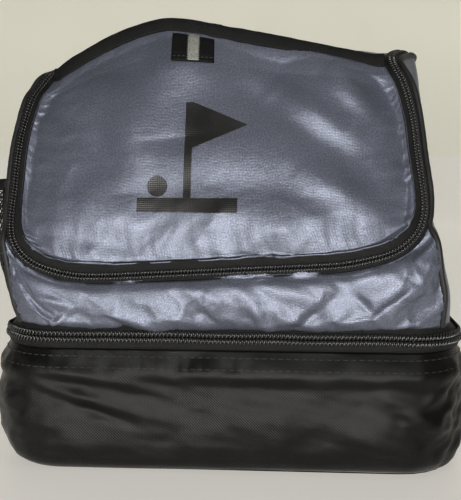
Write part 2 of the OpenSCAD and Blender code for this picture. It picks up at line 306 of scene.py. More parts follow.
def make(name, verts, faces, body, material, replaces=(), uv=None, flat=False):
    """One visible piece, that rides on a body and stands for the CAD nodes in replaces."""
    mesh = bpy.data.meshes.new(name)
    mesh.from_pydata([tuple(v) for v in verts], [], faces)
    mesh.validate()
    if uv is not None:
        layer = mesh.uv_layers.new(name="cloth")
        loops = np.zeros(len(mesh.loops), int)
        mesh.loops.foreach_get("vertex_index", loops)
        layer.data.foreach_set("uv", np.asarray(uv, float)[loops].ravel())
    if not flat:
        mesh.shade_smooth()
    piece = add_object(name, mesh)
    mesh.materials.append(material)
    if body:
        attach(piece, body)
    if replaces:
        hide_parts(*replaces)
    return piece


def grid_faces(rows, cols, start=0, closed=False):
    """Four-cornered faces over a grid of points, joined round where closed."""
    faces = []
    for r in range(rows - 1):
        for c in range(cols if closed else cols - 1):
            a = start + r * cols + c
            b = start + r * cols + (c + 1) % cols
            faces.append((a, b, b + cols, a + cols))
    return faces


def sheet(name, grid, thickness, body, material, replaces=()):
    """Fabric panel from a grid of points. Its thickness goes inwards from them."""
    rows, cols = grid.shape[:2]
    u, v = grid_lengths(grid)
    uv = np.stack([u + (u.max() - u[:, -1:]) / 2, v], -1).reshape(-1, 2)
    piece = make(name, grid.reshape(-1, 3), grid_faces(rows, cols), body, material, replaces, uv)
    solid = piece.modifiers.new("thickness", "SOLIDIFY")
    solid.thickness = thickness
    solid.offset = -1
    return piece


def capped_tube(rings, start):
    """Faces of a closed tube whose first vertex has the number start."""
    rows, cols = rings.shape[:2]
    faces = grid_faces(rows, cols, start, closed=True)
    faces.append(tuple(range(start + cols - 1, start - 1, -1)))
    faces.append(tuple(range(start + (rows - 1) * cols, start + rows * cols)))
    return faces


def surface(grid):
    """The sheet as something rays can be cast at."""
    return BVHTree.FromPolygons([tuple(p) for p in grid.reshape(-1, 3)], grid_faces(*grid.shape[:2]))


def tube_set(name, sets, body, material, replaces=()):
    """One object from several capped tubes, each given as an array of rings."""
    verts, faces, uv = [], [], []
    start = 0
    for rings in sets:
        verts.append(rings.reshape(-1, 3))
        faces += capped_tube(rings, start)
        s = arc_length(rings.mean(axis=1))
        around = arc_length(rings[0])
        uv.append(np.stack(np.broadcast_arrays(s[:, None], around[None]), -1).reshape(-1, 2))
        start += rings.shape[0] * rings.shape[1]
    return make(name, np.vstack(verts), faces, body, material, replaces, np.vstack(uv))


def rounded(width, height, edge=0.5):
    """Outline of a strip with rounded edges, counter-clockwise, as [x, y] points."""
    r = height * edge
    steps = 3
    points = []
    for k, (cx, cy) in enumerate([(1, -1), (1, 1), (-1, 1), (-1, -1)]):
        for i in range(steps + 1):
            angle = math.radians(-90 + 90 * k + 90 * i / steps)
            points.append([cx * (width / 2 - r) + r * math.cos(angle),
                           cy * (height / 2 - r) + r * math.sin(angle)])
    return points


def ribbon(seam, width, thickness):
    """Rings of a flat strip that follows a seam."""
    ring = np.array(rounded(width, thickness))
    return seam.p[:, None] + ring[:, :1] * seam.b[:, None] + ring[:, 1:] * seam.n[:, None]


def circle(count):
    """Cosine and sine at equal steps round a circle."""
    turn = np.linspace(0, 2 * math.pi, count, endpoint=False)
    return np.cos(turn), np.sin(turn)


def bulge(values, power):
    """Powers that keep the sign: below 1 they turn a circle into a rounded box."""
    return np.sign(values) * np.abs(values) ** power


def round_cord(points, a, b, radius, sides):
    radius = np.broadcast_to(radius, (len(points),))[:, None, None]
    c, s = (v[None, :, None] for v in circle(sides))
    return points[:, None] + c * a[:, None] * radius + s * b[:, None] * radius


def coil(seam, side, width, pitch):
    """Half of a coil zip: a flattened helix beside the seam, on the side that b points to if side is 1."""
    wire = pitch * COIL_WIRE
    steps = 8                                          # rings in one turn
    turns = int(seam.s[-1] / pitch)
    phase = np.arange(turns * steps + 1) * 2 * math.pi / steps
    s = phase / (2 * math.pi) * pitch + (0 if side > 0 else pitch / 2)
    s = np.minimum(s, seam.s[-1])
    p, b, n = seam.sample(s)
    t = np.cross(n, b)
    reach = (width + 0.3 * MM) / 2 - wire
    wide = bulge(np.cos(phase), 0.7)
    centres = p + b * (side * (width / 2 - 0.1 * MM) + reach * wide)[:, None]
    centres += n * (1.0 * MM + 0.62 * MM * np.sin(phase))[:, None]
    run = unit(np.gradient(centres, axis=0))
    x = unit(np.cross(run, t))
    y = np.cross(run, x)
    return round_cord(centres, x, y, wire, 5)


def stitches(seam, b, n, length=3.8 * MM, gap=1.3 * MM, radius=0.38 * MM):
    """A row of stitches along a seam, each a short rounded thread with its ends sunk in."""
    sets = []
    shape = np.array([0.0, 0.15, 0.5, 0.85, 1.0])
    width = np.array([0.35, 0.95, 1.0, 0.95, 0.35])
    c, d = (v[None, :, None] for v in circle(6))
    s = gap
    while s + length < seam.s[-1]:
        p, bb, nn = seam.sample(s + shape * length)
        dip = (1 - width) * radius * 1.2
        centre = p + bb * b + nn * (n - dip)[:, None]
        ring = c * bb[:, None] + d * nn[:, None] * 0.8
        sets.append(centre[:, None] + ring * (radius * width)[:, None, None])
        s += length + gap
    return sets


def drape(grid, slack, pressure, gravity, bend):
    """Lets a sheet that is held along its four sides go slack, by Blender's cloth simulation."""
    rows, cols = grid.shape[:2]
    mesh = bpy.data.meshes.new("cloth")
    mesh.from_pydata([tuple(v) for v in grid.reshape(-1, 3)], [], grid_faces(rows, cols))
    piece = add_object("cloth", mesh)
    held = [r * cols + c for r in range(rows) for c in range(cols) if r in (0, rows - 1) or c in (0, cols - 1)]
    piece.vertex_groups.new(name="held").add(held, 1.0, "REPLACE")
    cloth = piece.modifiers.new("cloth", "CLOTH")
    cloth.point_cache.frame_start = 1
    cloth.point_cache.frame_end = DRAPE_FRAMES
    rule = cloth.settings
    rule.quality = 6
    rule.mass = 0.1
    rule.tension_stiffness = CLOTH_STIFFNESS
    rule.compression_stiffness = CLOTH_STIFFNESS
    rule.shear_stiffness = CLOTH_STIFFNESS / 3
    rule.bending_stiffness = bend
    rule.air_damping = 2.0
    rule.vertex_group_mass = "held"
    rule.shrink_min = -slack
    rule.use_pressure = True
    rule.uniform_pressure_force = pressure
    rule.effector_weights.gravity = gravity
    scene = bpy.context.scene
    for f in range(1, DRAPE_FRAMES + 1):
        scene.frame_set(f)
    shown = piece.evaluated_get(bpy.context.evaluated_depsgraph_get())
    moved = np.array([v.co for v in shown.to_mesh().vertices], float).reshape(grid.shape)
    bpy.data.objects.remove(piece)
    scene.frame_set(1)
    shift = moved - grid
    size = np.linalg.norm(shift, axis=-1, keepdims=True)
    return grid + shift * np.minimum(1, DRAPE_LIMIT / np.maximum(size, 1e-9))


# ---------------------------------------------------------------- materials

WAVE, DIAGONAL_WAVE = 0.314159, 0.628319              # the wave texture's scale times its period

class Finish:
    """A procedural material: one Principled shader, with its textures read from the cloth's own UV map.

    Each texture is added by a call, done() closes it. Sizes, periods and depths are in metres."""

    def __init__(self, name, colour, rough, specular, **sockets):
        self.mat = bpy.data.materials.new(name)
        self.mat.use_nodes = True
        self.tree = self.mat.node_tree
        self.shader = self.tree.nodes["Principled BSDF"]
        self.colour = colour
        self.shader.inputs["Base Color"].default_value = (*colour, 1)
        self.shader.inputs["Roughness"].default_value = rough
        self.shader.inputs["Specular IOR Level"].default_value = specular
        for socket, value in sockets.items():
            self.shader.inputs[socket.replace("_", " ")].default_value = value
        self.height = None
        self.rough = rough

    def put(self, item, key, value):
        """Sets an input of a node, or links it where the value is another node's socket."""
        if isinstance(value, bpy.types.NodeSocket):
            self.tree.links.new(value, item.inputs[key])
        else:
            item.inputs[key].default_value = value

    def add(self, kind, **values):
        """A new node; each value sets an input of that name, or else the node's own setting."""
        item = self.tree.nodes.new("ShaderNode" + kind)
        for key, value in values.items():
            if key in item.inputs:
                self.put(item, key, value)
            else:
                setattr(item, key, value)
        return item

    def place(self, use_uv):
        """Where a texture is read: on the cloth, or through space."""
        if use_uv:
            return self.add("UVMap", uv_map="cloth").outputs["UV"]
        return self.add("TexCoord").outputs["Object"]

    def math(self, operation, a, b):
        item = self.add("Math", operation=operation)
        self.put(item, 0, a)
        self.put(item, 1, b)
        return item.outputs[0]

    def raise_by(self, socket, depth):
        """Adds a texture to the bump."""
        part = self.math("MULTIPLY", socket, depth)
        self.height = part if self.height is None else self.math("ADD", self.height, part)
        return self

    def bands(self, vector, period, direction):
        return self.add("TexWave", Vector=vector, Scale=WAVE / period, bands_direction=direction).outputs["Fac"]

    def weave(self, period, depth, squash=1.0):
        """Plain weave: warp and weft ribs at right angles."""
        at = self.place(True)
        over = self.bands(at, period, "X")
        return self.raise_by(self.math("MULTIPLY", over, self.bands(at, period * squash, "Y")), depth)

    def twill(self, period, depth):
        at = self.place(True)
        diagonal = self.add("TexWave", Vector=at, Scale=DIAGONAL_WAVE / (period * 1.4142), bands_direction="DIAGONAL")
        self.raise_by(diagonal.outputs["Fac"], depth)
        return self.raise_by(self.bands(at, period * 0.7, "X"), depth * 0.5)

    def ribs(self, period, depth, direction="X"):
        return self.raise_by(self.bands(self.place(True), period, direction), depth)

    def mottle(self, size, spread, dark, light):
        """Slow change of colour over the surface, and of roughness with it."""
        cloud = self.add("TexNoise", Vector=self.place(False), Scale=1 / size, Detail=3.0, Roughness=0.6)
        ramp = self.add("ValToRGB", Fac=cloud.outputs["Fac"])
        for stop, position, shade in zip(ramp.color_ramp.elements, (0.3, 0.7), (dark, light)):
            stop.position = position
            stop.color = (*[c * shade for c in self.colour], 1)
        self.put(self.shader, "Base Color", ramp.outputs["Color"])
        shift = self.math("MULTIPLY", cloud.outputs["Fac"], spread)
        self.put(self.shader, "Roughness", self.math("ADD", shift, self.rough - spread / 2))
        return self

    def grain(self, size, depth, use_uv=False, stretch=(1, 1, 1)):
        at = self.add("Mapping", Vector=self.place(use_uv), Scale=stretch).outputs["Vector"]
        fine = self.add("TexNoise", Vector=at, Scale=1 / size, Detail=4.0, Roughness=0.65)
        return self.raise_by(fine.outputs["Fac"], depth)

    def base(self):
        return self.shader.inputs["Base Color"].links[0].from_socket

    def lint_and_glints(self, size, colour, amount):
        """Lint and scuffs, with painted glints of the threads: small pale specks over the base colour."""
        fine = self.add("TexNoise", Vector=self.place(False), Scale=1 / size, Detail=2.0, Roughness=0.8)
        keep = self.math("GREATER_THAN", fine.outputs["Fac"], 1 - amount)
        mix = self.add("Mix", data_type="RGBA")
        for key, value in ((0, keep), (6, self.base()), (7, (*colour, 1))):      # factor, first and second colour
            self.put(mix, key, value)
        self.put(self.shader, "Base Color", mix.outputs[2])
        return self

    def flecks(self, size, spread):
        """Fine light and dark points in the weave, as cloth shows near to."""
        fine = self.add("TexNoise", Vector=self.place(True), Scale=1 / size, Detail=3.0, Roughness=0.75)
        light = self.math("ADD", self.math("MULTIPLY", fine.outputs["Fac"], 4 * spread), 1 - 2 * spread)
        scaled = self.add("VectorMath", operation="SCALE", Scale=light)
        self.put(scaled, 0, self.base())
        self.put(self.shader, "Base Color", scaled.outputs[0])
        return self

    def done(self, strength=1.0):
        if self.height is not None:
            bump = self.add("Bump", Height=self.height, Strength=strength, Distance=1.0)
            self.put(self.shader, "Normal", bump.outputs["Normal"])
        return self.mat


SLATE = (Finish("slate_nylon", (0.140, 0.153, 0.196), 0.40, 0.5, Metallic=0.58)
        .mottle(0.030, 0.10, 0.92, 1.08).flecks(0.0011, 0.6).weave(0.0010, 0.00010)
        .grain(0.0011, 0.00010, True, (1, 4, 1)).grain(0.012, 0.0004, True, (1, 1.6, 1)).done(0.75))
# The twill's pale specks are partly lint and partly painted glints, where its threads would catch the light.
TWILL = (Finish("black_twill", (0.0034, 0.0034, 0.0032), 0.31, 0.19)
        .mottle(0.025, 0.16, 0.8, 1.25).lint_and_glints(0.0007, (0.045, 0.045, 0.042), 0.30).flecks(0.0014, 0.9)
        .twill(0.0013, 0.00013).grain(0.0011, 0.00014, True, (1, 3, 1)).grain(0.010, 0.0004, True, (1, 1.8, 1))
        .done(0.8))
LINING = (Finish("black_lining", (0.022, 0.022, 0.023), 0.6, 0.35)
        .mottle(0.02, 0.1, 0.85, 1.15).weave(0.0008, 0.00008).done(0.6))
BINDING = (Finish("black_binding", (0.006, 0.006, 0.006), 0.62, 0.15)
        .mottle(0.012, 0.12, 0.8, 1.25).flecks(0.0014, 0.8).ribs(0.0011, 0.00016).grain(0.0005, 0.00008)
        .done(0.8))
PIPING = (Finish("black_piping", (0.012, 0.012, 0.0125), 0.5, 0.4)
        .mottle(0.01, 0.12, 0.8, 1.25).weave(0.0007, 0.00008).done(0.7))
WEBBING = (Finish("black_webbing", (0.0055, 0.0055, 0.0055), 0.68, 0.16)
        .mottle(0.01, 0.12, 0.8, 1.3).weave(0.0014, 0.00022, 1.6).done(0.9))
MESH = (Finish("black_mesh", (0.016, 0.016, 0.0165), 0.6, 0.35)
        .mottle(0.006, 0.12, 0.8, 1.3).grain(0.0005, 0.00012).done(0.8))
TAPE = (Finish("zip_tape", (0.009, 0.009, 0.0085), 0.6, 0.16)
        .mottle(0.008, 0.1, 0.8, 1.3).flecks(0.0013, 0.9).ribs(0.0009, 0.00014, "Y").ribs(0.0007, 0.00008, "X")
        .done(0.8))
TEETH = (Finish("zip_coil", (0.012, 0.012, 0.0125), 0.24, 0.8)
        .mottle(0.004, 0.12, 0.8, 1.3).grain(0.0004, 0.00003).done(0.6))
METAL = (Finish("zip_metal", (0.014, 0.014, 0.015), 0.32, 0.6, Coat_Weight=0.3, Coat_Roughness=0.2)
        .mottle(0.004, 0.14, 0.75, 1.4).grain(0.0006, 0.00003).done(0.6))
SILVER = (Finish("reflective_tape", (0.25, 0.25, 0.225), 0.5, 0.4)
        .mottle(0.004, 0.12, 0.85, 1.1).flecks(0.0012, 0.7).weave(0.0011, 0.00014).done(0.8))
PRINT = (Finish("black_print", (0.009, 0.009, 0.0085), 0.30, 0.7)
        .mottle(0.012, 0.10, 0.8, 1.3).flecks(0.0015, 0.6).weave(0.0012, 0.00012).grain(0.003, 0.00006)
        .done(0.6))
BOARD = (Finish("stiffener_board", (0.15, 0.13, 0.11), 0.8, 0.2)
        .mottle(0.01, 0.1, 0.8, 1.2).grain(0.0008, 0.0001).done(0.8))
THREAD = (Finish("thread", (0.02, 0.02, 0.021), 0.5, 0.45)
        .mottle(0.003, 0.1, 0.8, 1.3).grain(0.0004, 0.00006).done(0.8))

# ---------------------------------------------------------------- room and light


def area_light(name, place, target, size, power, colour):
    data = bpy.data.lights.new(name, "AREA")
    data.shape = "RECTANGLE"
    data.size, data.size_y = size
    data.energy = power
    data.color = colour
    lamp = add_object(name, data)
    lamp.location = place
    lamp.rotation_euler = (Vector(target) - Vector(place)).to_track_quat("-Z", "Y").to_euler()


def room():
    wall = Finish("painted_wall", (0.74, 0.725, 0.62), 0.8, 0.2, Emission_Color=(1, 0.98, 0.84, 1),
                  Emission_Strength=0.33).mottle(0.25, 0.05, 0.96, 1.04).grain(0.002, 0.0001).done()
    table = Finish("table_top", (0.78, 0.755, 0.70), 0.5, 0.35, Emission_Color=(1, 0.97, 0.90, 1),
                   Emission_Strength=0.34).mottle(0.15, 0.08, 0.97, 1.03).done()
    turn = np.linspace(0, math.pi / 2, 20)
    line = np.array([(-2.6, 0), *[(1.9 + 0.6 * math.sin(a), 0.6 - 0.6 * math.cos(a)) for a in turn], (2.5, 3.0)])
    grid = np.array([[(x, y, z) for x in (-4, 4)] for y, z in line])
    split = 12                                         # where the table ends and the wall begins, in the bend
    floor, back = (make(name, part.reshape(-1, 3), grid_faces(len(part), 2), None, finish)
                   for name, part, finish in (("table", grid[:split], table), ("wall", grid[split - 1:], wall)))
    world = bpy.data.worlds.new("room")
    bpy.context.scene.world = world
    world.use_nodes = True
    sky = world.node_tree.nodes["Background"].inputs
    sky["Color"].default_value = (1.0, 0.985, 0.95, 1)
    sky["Strength"].default_value = 0.085
    area_light("ceiling_light", (0.35, -0.35, 1.35), (0.02, 0, 0.15), (0.5, 0.35), 0.7, (1.0, 0.98, 0.95))
    area_light("front_light", (0.0, -1.7, 0.27), (0, 0, 0.15), (0.46, 0.55), 27, (1.0, 0.985, 0.965))
    bpy.context.scene.view_settings.view_transform = "Standard"


room()

# ---------------------------------------------------------------- the lines the bag is built on

UPPER_HALF = -box("left_side_panel")[0][0]             # upper compartment at its foot, half its width
UPPER_FRONT = box("front_panel")[0][1]
ZIP_END = box("lower_zip_coil")[1][1]                  # where the lower zip's teeth end, on both sides


def outward(plan):
    """The way out from each point of an outline seen from above."""
    t = unit(np.gradient(plan, axis=0))
    return np.stack([t[:, 1], -t[:, 0]], 1)


LOW_PLAN = plan_path(HALF_W, FRONT, REAR, FRONT_R, REAR_R)
ZIP_PLAN = plan_path(HALF_W + 0.3 * MM, FRONT - 0.5 * MM, REAR, 37 * MM, REAR_R)
DECK_PLAN = plan_path(UPPER_HALF, UPPER_FRONT, REAR - 1 * MM, 26 * MM, 12 * MM)
low_wave = ripple(at_height(ZIP_PLAN, ZIP_Z), (60 * MM, 60 * MM, 1), 3, 2) * 0.9 * MM
low_wave *= 1 - np.clip((ZIP_PLAN[:, 0] - 125 * MM) / (15 * MM), 0, 1)         # straight where the slider runs
LOW_SEAM = Seam(at_height(ZIP_PLAN, ZIP_Z + low_wave), (0, 0, -1), -0.22)
DECK_LINE = at_height(DECK_PLAN, DECK + 0.6 * low_wave)

LID_LINE = spline([
    (-119.4, 93, 262.3), (-119.4, 74, 264.8), (-120, 40, 266), (-122, -10, 264), (-126, -32, 259.5),
    (-131, -42, 250), (-135, -51, 240), (-139.5, -64, 213), (-140.5, -77, 180), (-140.5, -86, 160),
    (-137, -92, 148), (-128, -94.5, 137.8), (-113, -96, 131.2), (-90, -97, 127.6), (-43, -97.5, 129.6),
    (10, -98, 132.6), (64, -97.5, 135.6), (85, -96.5, 138.7), (104, -95, 144.3), (116.5, -91, 154),
    (122, -86, 165), (123, -80, 177), (121.5, -74, 192), (120, -67, 206), (118, -57, 228), (113, -48, 250),
    (107, -39, 263), (106, -30, 270), (114, -10, 274.9), (118.2, -3, 274.6), (119.4, 6, 273.9),
    (119.4, 22, 271.74), (119.4, 75, 264.7), (119.4, 93, 262.3)], 700)
LID_LINE = smooth(LID_LINE, 6)


def lid_seam():
    """The lid's zip as a seam: it lies flat on top and leans with the front down the U."""
    x, z = LID_LINE[:, 0], LID_LINE[:, 2]
    low = np.clip((190 * MM - z) / (60 * MM), 0, 1) ** 1.3
    across = field(np.sign(x) * (np.abs(x / (125 * MM)) ** 5 * (1 - 0.35 * low)), 0, -low)
    tilt = np.radians(4 + 20 * np.clip((z - 135 * MM) / (40 * MM), 0, 1)
                      - 16 * np.clip((z - 225 * MM) / (30 * MM), 0, 1))
    return Seam(LID_LINE, smooth(unit(across), 12), tilt)


LID_SEAM = lid_seam()

# Where the lid meets the top edge, the piping and the front strip, as indices along the lid's zip.
lid_x, lid_z = LID_LINE[:, 0], LID_LINE[:, 2]
TOP_LEFT, MEET_LEFT, LOW_LEFT = (first_where(lid_z < height * MM) for height in (257, 160, 141))
LOW_RIGHT, MEET_RIGHT, TOP_RIGHT = (first_where((lid_x > beyond * MM) & (lid_z > height * MM))
                                    for beyond, height in ((100, 145), (100, 163), (90, 265)))

LID_LOW = smooth(np.clip((178 * MM - lid_z) / (34 * MM), 0, 1), 20)            # 1 at the foot of the U, 0 above
TAPE_OUT = (6.8 - 2.6 * LID_LOW) * MM                  # from the teeth out to the seam with the body
TAPE_IN = (5.2 + 2.5 * LID_LOW) * MM                   # from the teeth in to the seam with the lid
OUTER = LID_SEAM.at(TAPE_OUT, -0.6 * MM)
INNER = LID_SEAM.at(-TAPE_IN, -0.6 * MM)


def deck_corner(side):
    """The place on the foot of the upper compartment where the piping starts."""
    x, y = DECK_PLAN[:, 0] * side, DECK_PLAN[:, 1]
    return int(np.argmax(np.where(x > 0, x - y, -1)))


FOOT_LEFT, FOOT_RIGHT = deck_corner(-1), deck_corner(1)


def piping_line(foot, low, meet, step):
    """Up the corner from the foot, then beside the lid zip to the rear."""
    up = spline([DECK_LINE[foot] / MM] + low + [LID_SEAM.at(TAPE_OUT, -1 * MM)[meet] / MM], 60)
    along = LID_SEAM.at(TAPE_OUT + 0.2 * MM, -1 * MM)
    along = along[meet::-1] if step < 0 else along[meet:]
    return smooth(resample(np.vstack([up[:-1], along[2:]]), 420), 10)


PIPE_LEFT = piping_line(FOOT_LEFT, [(-139.5, -89, 111), (-142.5, -91, 135), (-145.2, -89.5, 150)], MEET_LEFT, -1)
PIPE_RIGHT = piping_line(FOOT_RIGHT, [(136.5, -89.5, 115), (133.5, -91.5, 131), (131, -90.5, 150)], MEET_RIGHT, 1)
PIPE_R = 2.0 * MM

PEAK = spline([
    INNER[TOP_LEFT] / MM, (-118.5, -40, 256), (-110, -41, 262), (-94, -41, 271), (-78, -41, 279), (-58, -41, 286),
    (-44, -41, 288.5), (-30, -41, 287.5), (-11, -41, 284), (37, -41, 275), (71, -40.5, 268), (84, -40, 265.5),
    (93, -39, 264), INNER[TOP_RIGHT] / MM], 200)

# ---------------------------------------------------------------- lower compartment


def low_wall():
    height = WALL_TOP / MM                             # this panel is worked out in millimetres
    z = np.concatenate([np.linspace(0, 8, 9), np.linspace(10, height, 44)])[:, None]
    swell = smooth(np.interp(z, [0, 2, 4, 8, 18, 35, 50, 58, 65, 72, 78, 81],
                             [-6, -2.5, 0, 2, 4.4, 5.0, 3.4, 3.2, 6.0, 3.4, 1.0, 0]), 2)
    s = arc_length(LOW_PLAN) / MM
    side = s - s[-1] / 2                               # 0 at the middle of the front
    tall = hump(np.minimum(1, z / 81), 0.8)
    push = swell * (1 + 0.25 * np.sin(s / 61 + 1))
    push = push + 6.5 * tall * np.exp(-((side + 205) / 75) ** 2)               # the left side bulges
    push = push - 2.2 * tall * np.exp(-((side - 150) / 14) ** 2)               # dent at the right corner
    plan = LOW_PLAN + outward(LOW_PLAN) * push[..., None] * MM
    grid = field(plan[..., 0], plan[..., 1], z * MM)
    along, up = np.broadcast_arrays(s, z)
    held = hump(np.clip(up / 81, 0.0, 1), 0.7)
    creases = ripple(field((along - 0.9 * up) / 46, up / 60, 2.1), 1, 1, 2) * 1.4
    creases += ripple(field(along / 17, (up + 0.2 * along) / 30, 5.2), 1, 2, 2) * 0.55
    corner = np.exp(-((side - 148) / 26) ** 2) + 0.6 * np.exp(-((side + 148) / 30) ** 2)
    creases += corner * ripple(field(along / 20, (up - 0.5 * along) / 11, 8.8), 1, 3, 2) * 2.8
    pull = np.exp(-((up - 70) / 6) ** 2) * ripple(field(along / 9, up / 40, 0), 1, 6, 2) * 0.6
    creases += (0.6 + corner) * crumple(field(along + 0.6 * up, 0, up - 0.25 * along), (44, 20, 22), 31) * 1.3
    grid += grid_normals(grid) * ((creases * held + pull) * MM)[..., None]
    creases = crumple(field(along + 0.2 * up, 0, up + 0.22 * side), (75, 12, 15), 37) * 0.9
    grid += grid_normals(grid) * (creases * held * MM)[..., None]
    lift = add_folds(0, grid, (
        ((-136, 62), (-60, 40), 1.9, 3.6), ((-122, 50), (-50, 30), -1.7, 3.4), ((-112, 66), (-34, 54), 1.5, 3.6),
        ((-20, 64), (46, 16), 1.3, 14), ((88, 62), (132, 30), 2.4, 6), ((104, 44), (140, 12), -2.8, 6),
        ((70, 30), (120, 14), 1.8, 7)))
    grid += grid_normals(grid) * (lift * (grid[..., 1] < -60 * MM))[..., None]
    room = np.interp(grid[..., 2], [46 * MM, 58 * MM], [9 * MM, 2.9 * MM])     # clear of the pull as the zip opens
    beside = (grid[..., 0] > 0) & (grid[..., 1] > -52 * MM)
    grid[..., 0] = np.where(beside, np.minimum(grid[..., 0], HALF_W + room), grid[..., 0])
    return grid


WALL = low_wall()
wall = sheet("lower_wall", WALL, TWILL_THICK, "lower", TWILL, ["lower_gusset"])
wall_top, wall_fold = Seam(WALL[-4], (0, 0, -1)), Seam(WALL[-8], (0, 0, -1))
rows = stitches(wall_top, 0, 0.2 * MM) + stitches(wall_fold, 0.6 * MM, 0.2 * MM)
tube_set("lower_wall_stitching", rows, "lower", THREAD)

liner_grid = (WALL - grid_normals(WALL) * 2.4 * MM)[5:-2]
liner = sheet("lower_liner", liner_grid, LINING_THICK, "lower", LINING, ["lower_lining"])


def flat_panel(plan, z, inset):
    """A sheet that fills a plan outline at one height, from its left half to its right half."""
    half = len(plan) // 2
    plan = plan - outward(plan) * inset
    left, right = plan[:half + 1][::-1], plan[half:]
    u = np.linspace(0, 1, 9)[None, :, None]
    grid = ((1 - u) * left[:, None] + u * right[:, None])[1::6]
    return field(grid[..., 0], grid[..., 1], z)


skin = sheet("bottom_skin", flat_panel(LOW_PLAN, 1.4 * MM, 5.0 * MM), TWILL_THICK, "lower", TWILL,
             ["bottom_panel"])
liner_floor = sheet("lower_liner_floor", flat_panel(LOW_PLAN, 5.0 * MM, 3.4 * MM), LINING_THICK, "lower", LINING)


def back_wall(left, right, rows, belly, seed):
    """A back panel between two rear corners, seen from behind; u runs from right to left."""
    cols = 70
    u, v = across_and_up(cols, rows)
    low, high = (np.linspace(right[k], left[k], cols) for k in (0, 1))
    grid = (1 - v[..., None]) * low[None] + v[..., None] * high[None]
    swell = belly * hump(u, 0.6) * hump(v, 0.7)
    swell = swell + ripple(grid, (70 * MM, 1, 35 * MM), seed, 3) * 1.0 * MM * hump(u, 0.4)
    grid[..., 1] += swell * hump(v, 0.5)
    return grid


rear_low = back_wall((WALL[1][0], WALL[-1][0]), (WALL[1][-1], WALL[-1][-1]), 30, 0.8 * MM, 4)
lower_back = sheet("lower_back", rear_low, TWILL_THICK, "lower", TWILL, ["lower_back_panel"])

# ---------------------------------------------------------------- upper compartment


def front_strip():
    cols, rows = 200, 34
    bottom = resample(DECK_LINE[FOOT_LEFT:FOOT_RIGHT + 1], cols)
    top = resample(OUTER[MEET_LEFT:MEET_RIGHT + 1], cols)
    left, right = (resample(np.vstack([pipe[:first_where(pipe[:, 2] > lid_z[meet])], end]), rows)
                   for pipe, meet, end in ((PIPE_LEFT, MEET_LEFT, top[:1]), (PIPE_RIGHT, MEET_RIGHT, top[-1:])))
    bottom[0], bottom[-1] = left[0], right[0]
    grid = coons(bottom, top, left, right)
    u, v = across_and_up(cols, rows)
    inside = hump(v, 0.8) * hump(np.clip(u, 0.002, 0.998), 0.35)
    lift = inside * 3.4 * MM
    x, z = grid[..., 0] / MM, grid[..., 2] / MM
    lift += inside * ripple(field(x / 52, (z + 0.35 * x) / 15, 3.3), 1, 2, 2) * 2.4 * MM
    lift += inside * crumple(field(x, z + 0.4 * x, 0), (46, 17, 20), 5) * 2.3 * MM
    lift += puckers(grid, ["bottom"], 2.4 * MM, 9 * MM, 7.5 * MM, 1) * (v < 0.99) * hump(v, 0.2)
    lift += puckers(grid, ["top"], 1.5 * MM, 8 * MM, 8 * MM, 2) * hump(v, 0.2)
    down = grid_lengths(grid)[1]
    lift += 1.1 * MM * np.exp(-((down[-1:] - down - 6 * MM) / (1.2 * MM)) ** 2) * hump(u, 0.3)
    lift = add_folds(lift, grid, (
        ((-127, 118), (-94, 112), 2.6, 2.6), ((-95, 113), (-119, 96), 2.6, 2.2), ((-88, 116), (-58, 96), -3.0, 4.5),
        ((-62, 108), (-36, 95), 2.2, 3.0), ((-30, 118), (8, 98), -1.8, 5), ((14, 118), (30, 97), 1.8, 3.5),
        ((70, 122), (38, 97), -2.2, 4), ((76, 124), (104, 98), 2.4, 3.2), ((96, 130), (128, 104), -2.6, 4),
        ((112, 140), (131, 118), 2.0, 3)))
    grid = grid + grid_normals(grid) * lift[..., None]
    return drape(grid, 0.035, 0.3, 0.2, 0.02)


STRIP = front_strip()
strip = sheet("front_strip", STRIP, NYLON_THICK, "upper", SLATE, ["front_panel"])


def side_panel(side):
    """u runs from rear to front on the left and from front to rear on the right; v runs up."""
    pipe, top_z, low, belly, slump = (
        (PIPE_LEFT, 252, DECK_LINE[:FOOT_LEFT + 1][::-1], 4.5, 4.5) if side < 0 else
        (PIPE_RIGHT, 256, DECK_LINE[FOOT_RIGHT:], -3.5, 2.5))                  # the right side sinks in
    top_at = first_where(pipe[:, 2] > top_z * MM)
    cols, rows = 84, 76
    u, v = across_and_up(cols, rows)
    low, top = resample(low, cols), resample(pipe[top_at:], cols)
    grid = coons(low, top, resample(pipe[:top_at + 1], rows), (1 - v) * low[-1] + v * top[-1])
    inside = hump(v, 0.8) * hump(u, 1.25)
    lift = inside * belly * MM
    y, z = grid[..., 1] / MM, grid[..., 2] / MM
    lift += inside * ripple(field(y / 60, (z + 0.6 * y) / 34, side), 1, 8, 3) * slump * MM
    lift += inside * crumple(field(0, y, z + 0.7 * y), (20, 48, 26), 9 + side) * 1.9 * MM
    lift += (puckers(grid, ["left", "bottom", "top"], 1.0 * MM, 9 * MM, 9 * MM, 4 + side)
             * hump(v, 0.2) * hump(u, 0.2))
    grid = grid + grid_normals(grid) * side * lift[..., None]
    return grid[:, ::-1] if side < 0 else grid


LEFT, RIGHT = side_panel(-1), side_panel(1)
left_side = sheet("left_side", LEFT, NYLON_THICK, "upper", SLATE, ["left_side_panel"])
right_side = sheet("right_side", RIGHT, NYLON_THICK, "upper", SLATE, ["right_side_panel"])

rear_high = back_wall((RIGHT[0][-1], RIGHT[-1][-1]), (LEFT[0][0], LEFT[-1][0]), 60, 1.5 * MM, 9)
back = sheet("upper_back", rear_high, NYLON_THICK, "upper", SLATE, ["back_panel"])

divider = sheet("divider_cloth", flat_panel(DECK_PLAN, DECK + 0.2 * MM, 1.5 * MM), LINING_THICK, "upper", LINING,
                ["divider_panel"])

